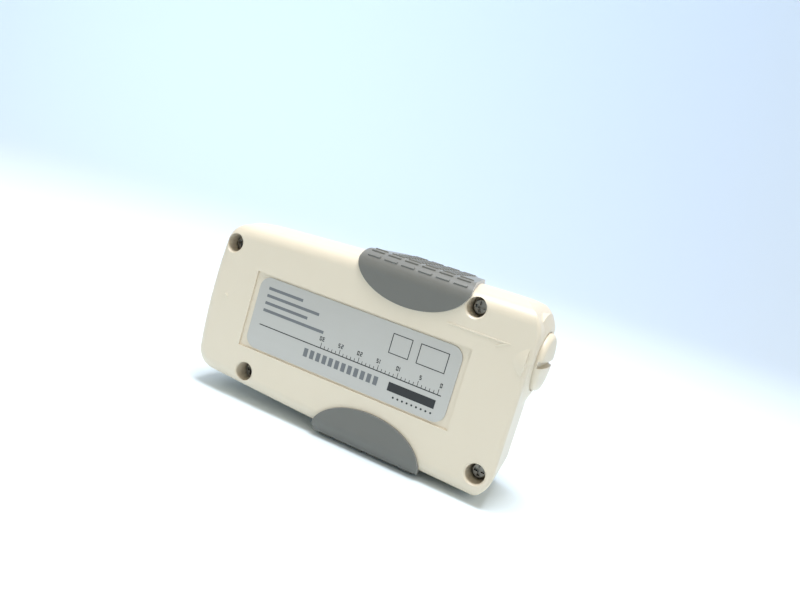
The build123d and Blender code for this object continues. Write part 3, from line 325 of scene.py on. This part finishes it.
# %% Optical glass, window, display and lamp
dense_glass = start_material("Dense flint glass, polished", "#F4F8F8", 0.03, ior=1.75)
window_acrylic = start_material("Acrylic, clear cast", "#F5FAFA", 0.04, ior=1.49)
lamp_epoxy = start_material("Epoxy, clear amber", "#F2C25A", 0.08, ior=1.53)
display_glass = start_material("Display glass, grey-green reflective", "#A9B39C", 0.16, ior=1.52)
for clear in (dense_glass, window_acrylic, lamp_epoxy):
    shader_of(clear).inputs["Transmission Weight"].default_value = 1.0
dress(dense_glass, "prism", "condenser_lens", "imaging_lens")
dress(window_acrylic, "lcd_window")
dress(lamp_epoxy, "led_lamp")
dress(display_glass, "lcd_glass")

# %% [markdown]
# ## Printed matter
# Ink is only a few hundredths of a millimetre thick. It could be painted in a texture, but real
# thin meshes stay sharp at any distance and need no image. Each print is one mesh of flat
# shapes with a small thickness. Its own frame has u to the right and v up, in millimetres, and
# a matrix lays it on the face that carries it.


# %% A print is a list of polygons with a little thickness
INK = 0.03 * MM


def laid_on(origin, right, up):
    right, up = Vector(right), Vector(up)
    out = right.cross(up)
    rotation = Matrix((right, up, out)).transposed().to_4x4()
    return Matrix.Translation(origin) @ rotation


def bar(u, v, length, height):
    return [(u, v), (u + length, v), (u + length, v + height), (u, v + height)]


def box_rule(u, v, length, height, line):
    return [
        bar(u, v, length, line),
        bar(u, v + height - line, length, line),
        bar(u, v + line, line, height - 2 * line),
        bar(u + length - line, v + line, line, height - 2 * line),
    ]


def round_dot(u, v, radius, sides=20):
    turns = [2 * math.pi * k / sides for k in range(sides)]
    return [(u + radius * math.cos(t), v + radius * math.sin(t)) for t in turns]


def print_shapes(name, shapes, placing, material):
    vertices, faces = [], []
    for shape in shapes:
        first, count = len(vertices), len(shape)
        vertices += [(u * MM, v * MM, 0.0) for u, v in shape]
        vertices += [(u * MM, v * MM, INK) for u, v in shape]
        faces.append([first + k for k in reversed(range(count))])
        faces.append([first + count + k for k in range(count)])
        for k in range(count):
            after = (k + 1) % count
            faces.append([first + k, first + after, first + count + after, first + count + k])
    mesh = bpy.data.meshes.new(name)
    mesh.from_pydata(vertices, [], faces)
    mesh.materials.append(material)
    made = bpy.data.objects.new(name, mesh)
    bpy.context.scene.collection.objects.link(made)
    made.matrix_world = placing
    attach(made, "instrument")
    print(name, "has", len(shapes), "shapes")


# %% [markdown]
# Plain numerals are easiest as seven bars, the way a display draws them. By custom the bars are
# lettered from the top round to the right, with g in the middle. The same function serves for
# the label's scale and for the liquid-crystal digits.

# %% Seven-bar numerals
LIT_BARS = {
    "0": "abcdef",
    "1": "bc",
    "2": "abged",
    "3": "abgcd",
    "5": "afgcd",
}
WIDTH_SHARE = 0.55
PITCH_SHARE = 0.75
GAP_SHARE = 0.2


def numeral(digit, u, v, height, line):
    width = height * WIDTH_SHARE
    half = height / 2
    gap = line * GAP_SHARE
    across = width - 2 * gap
    upright = half - 2 * gap
    bars = {
        "a": bar(u + gap, v + height - line, across, line),
        "g": bar(u + gap, v + half - line / 2, across, line),
        "d": bar(u + gap, v, across, line),
        "f": bar(u, v + half + gap, line, upright),
        "b": bar(u + width - line, v + half + gap, line, upright),
        "e": bar(u, v + gap, line, upright),
        "c": bar(u + width - line, v + gap, line, upright),
    }
    return [bars[letter] for letter in LIT_BARS[digit]]


def number(text, u, v, height, line):
    shapes = []
    for place, digit in enumerate(text):
        shapes += numeral(digit, u + place * height * PITCH_SHARE, v, height, line)
    return shapes


print("numerals ready:", "".join(sorted(LIT_BARS)))

# %% [markdown]
# ### The rating plate
# The plate carries a scale, rules, empty boxes and grey bars. The instrument stands on its long
# side here, so the print is upside down: its right is towards the head and its up is down.
# Sizes are in millimetres, and places are counted from the label's centre.

# %% Print the rating plate
label_ink = start_material("Screen ink, black", "#1D1E20", 0.45, ior=1.5)
pale_ink = start_material("Screen ink, mid grey", "#6A6D70", 0.5, ior=1.5)
on_label = laid_on(
    (label_centre.x, label_low.y, label_centre.z), right=(-1, 0, 0), up=(0, 0, -1)
)
EDGE, MARGIN = -30.5, 1.0
RULE_V, RULE_LENGTH, RULE_LINE = 3.4, 62.5, 0.3
TICKS, TICK_PITCH, TICK_LINE = 31, 1.3, 0.18
LONG_EVERY, LONG_TICK, SHORT_TICK = 5, 1.5, 0.8
NUMBER_SHIFT, NUMBER_V, NUMBER_HEIGHT, NUMBER_LINE = -0.6, 0.1, 1.3, 0.24
BOX_V, BOX_HEIGHT, BOX_LINE = -8.6, 6.0, 0.25
BOX_PLACES = ((EDGE, 9.0), (-19.0, 6.4))
BAND_V, BAND_LENGTH, BAND_HEIGHT = 5.2, 15.0, 2.6
DOTS, DOT_EDGE, DOT_PITCH, DOT_V, DOT_RADIUS = 9, -30.0, 1.5, 9.2, 0.32
STRIPES, STRIPE_EDGE, STRIPE_PITCH, STRIPE_WIDTH = 12, -12.0, 2.2, 1.4
ROW_END, ROW_V, ROW_PITCH, ROW_LINE = 31.0, -1.6, 2.3, 0.9
ROW_LENGTHS = (22.0, 15.5, 19.0, 12.5)
plate = [bar(EDGE - MARGIN, RULE_V, RULE_LENGTH, RULE_LINE)]
for tick in range(TICKS):
    length = LONG_TICK if tick % LONG_EVERY == 0 else SHORT_TICK
    plate.append(bar(EDGE + tick * TICK_PITCH, RULE_V - length, TICK_LINE, length))
for tick in range(0, TICKS, LONG_EVERY):
    place = EDGE + NUMBER_SHIFT + tick * TICK_PITCH
    plate += number(str(tick), place, NUMBER_V, NUMBER_HEIGHT, NUMBER_LINE)
for u, length in BOX_PLACES:
    plate += box_rule(u, BOX_V, length, BOX_HEIGHT, BOX_LINE)
plate += [round_dot(DOT_EDGE + k * DOT_PITCH, DOT_V, DOT_RADIUS) for k in range(DOTS)]
plate += [bar(EDGE, BAND_V, BAND_LENGTH, BAND_HEIGHT)]
print_shapes("label_print", plate, on_label, label_ink)
lines = []
for k in range(STRIPES):
    lines.append(bar(STRIPE_EDGE + STRIPE_PITCH * k, BAND_V, STRIPE_WIDTH, BAND_HEIGHT))
for row, length in enumerate(ROW_LENGTHS):
    lines.append(bar(ROW_END - length, ROW_V - row * ROW_PITCH, length, ROW_LINE))
print_shapes("label_bars", lines, on_label, pale_ink)

# %% [markdown]
# ### The display and the overlay
# Liquid-crystal digits are dark where the crystal turns the light. They lie on the glass, under
# the clear window. The head is at the top when the instrument is read, so their up is -X. A small
# white mark beside each key says what it does: a nought to set the zero, an arrow to start.

# %% Digits on the display, marks on the overlay
crystal_dark = start_material("Liquid crystal, dark segments", "#23281F", 0.35, ior=1.5)
white_ink = start_material("Screen ink, white", "#E8EAEA", 0.45, ior=1.5)
on_glass = laid_on(
    (glass_centre.x, glass_high.y, glass_centre.z), right=(0, 0, -1), up=(-1, 0, 0)
)
WHOLE_U, POINT_U, TENTHS_U = -9.6, 4.6, 6.2
DIGIT_V, DIGIT_HEIGHT, DIGIT_LINE = -4.6, 9.2, 1.1
POINT_V, POINT_RADIUS = -4.2, 0.7
SIGN_U, SIGN_V, SIGN_LENGTH, SIGN_HEIGHT, SIGN_LINE = -10.5, 6.6, 4.4, 2.2, 0.3
CHARGE_U, CHARGE_V, CHARGE_LENGTH, CHARGE_HEIGHT = -10.0, 7.1, 2.2, 1.2
shown = number("25", WHOLE_U, DIGIT_V, DIGIT_HEIGHT, DIGIT_LINE)
shown += [round_dot(POINT_U, POINT_V, POINT_RADIUS)]
shown += number("0", TENTHS_U, DIGIT_V, DIGIT_HEIGHT, DIGIT_LINE)
shown += box_rule(SIGN_U, SIGN_V, SIGN_LENGTH, SIGN_HEIGHT, SIGN_LINE)
shown += [bar(CHARGE_U, CHARGE_V, CHARGE_LENGTH, CHARGE_HEIGHT)]
print_shapes("display_digits", shown, on_glass, crystal_dark)
MARK_GAP = 2.2 * MM
MARK_SIZE = 0.7
nought = numeral("0", u=-0.9, v=-1.6, height=3.2, line=0.45)
arrow = [[(-1.3, -1.1), (1.3, -1.1), (0.0, 1.3)]]
for name, low, high, marks in (
    ("zero_mark", zero_low, zero_high, nought),
    ("start_mark", start_low, start_high, arrow),
):
    beside = Vector((high.x + MARK_GAP, panel_high.y, (low.z + high.z) / 2))
    on_panel = laid_on(beside, right=(0, 0, -1), up=(-1, 0, 0))
    shapes = [[(u * MARK_SIZE, v * MARK_SIZE) for u, v in mark] for mark in marks]
    print_shapes(name, shapes, on_panel, white_ink)

# %% [markdown]
# ## The set
# The instrument stands in a wide, shallow bowl of faintly blue paper: flat in the middle, bent up
# all round, so that no horizon shows from any side. A sheet bent up behind would do for a single
# view, but a bowl serves a camera on any side. Under the overhead box the paper is lit so strongly
# that it turns white, and its colour comes back where that light falls off.

# %% Paper bowl
FLAT_RADIUS = 1.0
BEND_RADIUS = 1.3
RIM_HEIGHT = 1.6
STEPS = 24
SPOKES = 96
profile = []
for k in range(STEPS + 1):
    turn = math.pi / 2 * k / STEPS
    radius = FLAT_RADIUS + BEND_RADIUS * math.sin(turn)
    profile.append((radius, BEND_RADIUS * (1 - math.cos(turn))))
profile.append((FLAT_RADIUS + BEND_RADIUS, RIM_HEIGHT))
vertices = [(0.0, 0.0, 0.0)]
for radius, height in profile:
    for spoke in range(SPOKES):
        angle = 2 * math.pi * spoke / SPOKES
        vertices.append((radius * math.cos(angle), radius * math.sin(angle), height))
faces = [(0, 1 + k, 1 + (k + 1) % SPOKES) for k in range(SPOKES)]
for ring in range(len(profile) - 1):
    inner, outer = 1 + ring * SPOKES, 1 + (ring + 1) * SPOKES
    for k in range(SPOKES):
        after = (k + 1) % SPOKES
        faces.append((inner + k, outer + k, outer + after, inner + after))
bowl_mesh = bpy.data.meshes.new("paper_bowl")
bowl_mesh.from_pydata(vertices, [], faces)
bowl_mesh.shade_smooth()
bowl = bpy.data.objects.new("paper_bowl", bowl_mesh)
bpy.context.scene.collection.objects.link(bowl)
paper = start_material("Background paper, faint blue", "#E6F1F8", 0.8, ior=1.45)
bowl_mesh.materials.append(paper)
print("the bowl has", len(faces), "faces")

# %% [markdown]
# ## Light
# The world gives an even, faintly warm light from everywhere, so that no side goes dark. A
# soft box overhead, a little in front, draws bright upper edges and a narrow shadow that fades
# away from the case. A large one on the right lifts the battery end. The last one looks at the
# paper behind the instrument and tints it, so that the pale case stands out from the pale set.

# %% World light and soft boxes
world = bpy.data.worlds.new("studio")
bpy.context.scene.world = world
world.use_nodes = True
sky = world.node_tree.nodes["Background"]
sky.inputs["Color"].default_value = linear("#FFF0DA")
sky.inputs["Strength"].default_value = 0.66
CASE_MIDDLE = Vector((0.0, 0.0, 30 * MM))
BACKDROP_MIDDLE = Vector((-0.3, 2.2, 0.6))


def soft_box(name, place, target, size, watts, colour):
    light = bpy.data.lights.new(name, "AREA")
    light.shape = "SQUARE"
    light.size = size
    light.energy = watts
    light.color = linear(colour)[:3]
    lamp = bpy.data.objects.new(name, light)
    lamp.location = place
    lamp.rotation_euler = (target - Vector(place)).to_track_quat("-Z", "Y").to_euler()
    bpy.context.scene.collection.objects.link(lamp)
    print(name, "gives", watts, "W from", round((target - Vector(place)).length, 2), "m")


soft_box("top_box", (0.0, -0.07, 0.75), CASE_MIDDLE, size=0.32, watts=6.6, colour="#F4F9FF")
soft_box("side_box", (0.9, -0.6, 0.6), CASE_MIDDLE, size=0.8, watts=1.2, colour="#FFFCF6")
soft_box("backdrop_box", (-0.9, 0.6, 1.3), BACKDROP_MIDDLE, size=0.8, watts=18.0, colour="#AED0FF")

# %% [markdown]
# ## Camera
# The lens is a little wide and close to the object, as with a hand-held snapshot. Three unit
# vectors say where the picture's right, down and forward point; Blender's camera looks along
# its own -Z with +Y up, so two of them change sign.

# %% Camera
RIGHT = Vector((0.8774, 0.3865, 0.2844))
DOWN = Vector((0.3117, -0.0085, -0.9501))
FORWARD = Vector((-0.3648, 0.9223, -0.1279))
CAMERA_PLACE = Vector((87.77, -208.83, 74.27)) * MM
lens = bpy.data.cameras.new("snapshot")
lens.sensor_width = 36.0
lens.lens = 33.3
lens.clip_start = 0.01
camera = bpy.data.objects.new("snapshot", lens)
rotation = Matrix((RIGHT, -DOWN, -FORWARD)).transposed().to_4x4()
camera.matrix_world = Matrix.Translation(CAMERA_PLACE) @ rotation
bpy.context.scene.collection.objects.link(camera)
bpy.context.scene.camera = camera
bpy.context.scene.view_settings.view_transform = "Standard"
print("camera is", round(CAMERA_PLACE.length / MM), "mm from the origin")
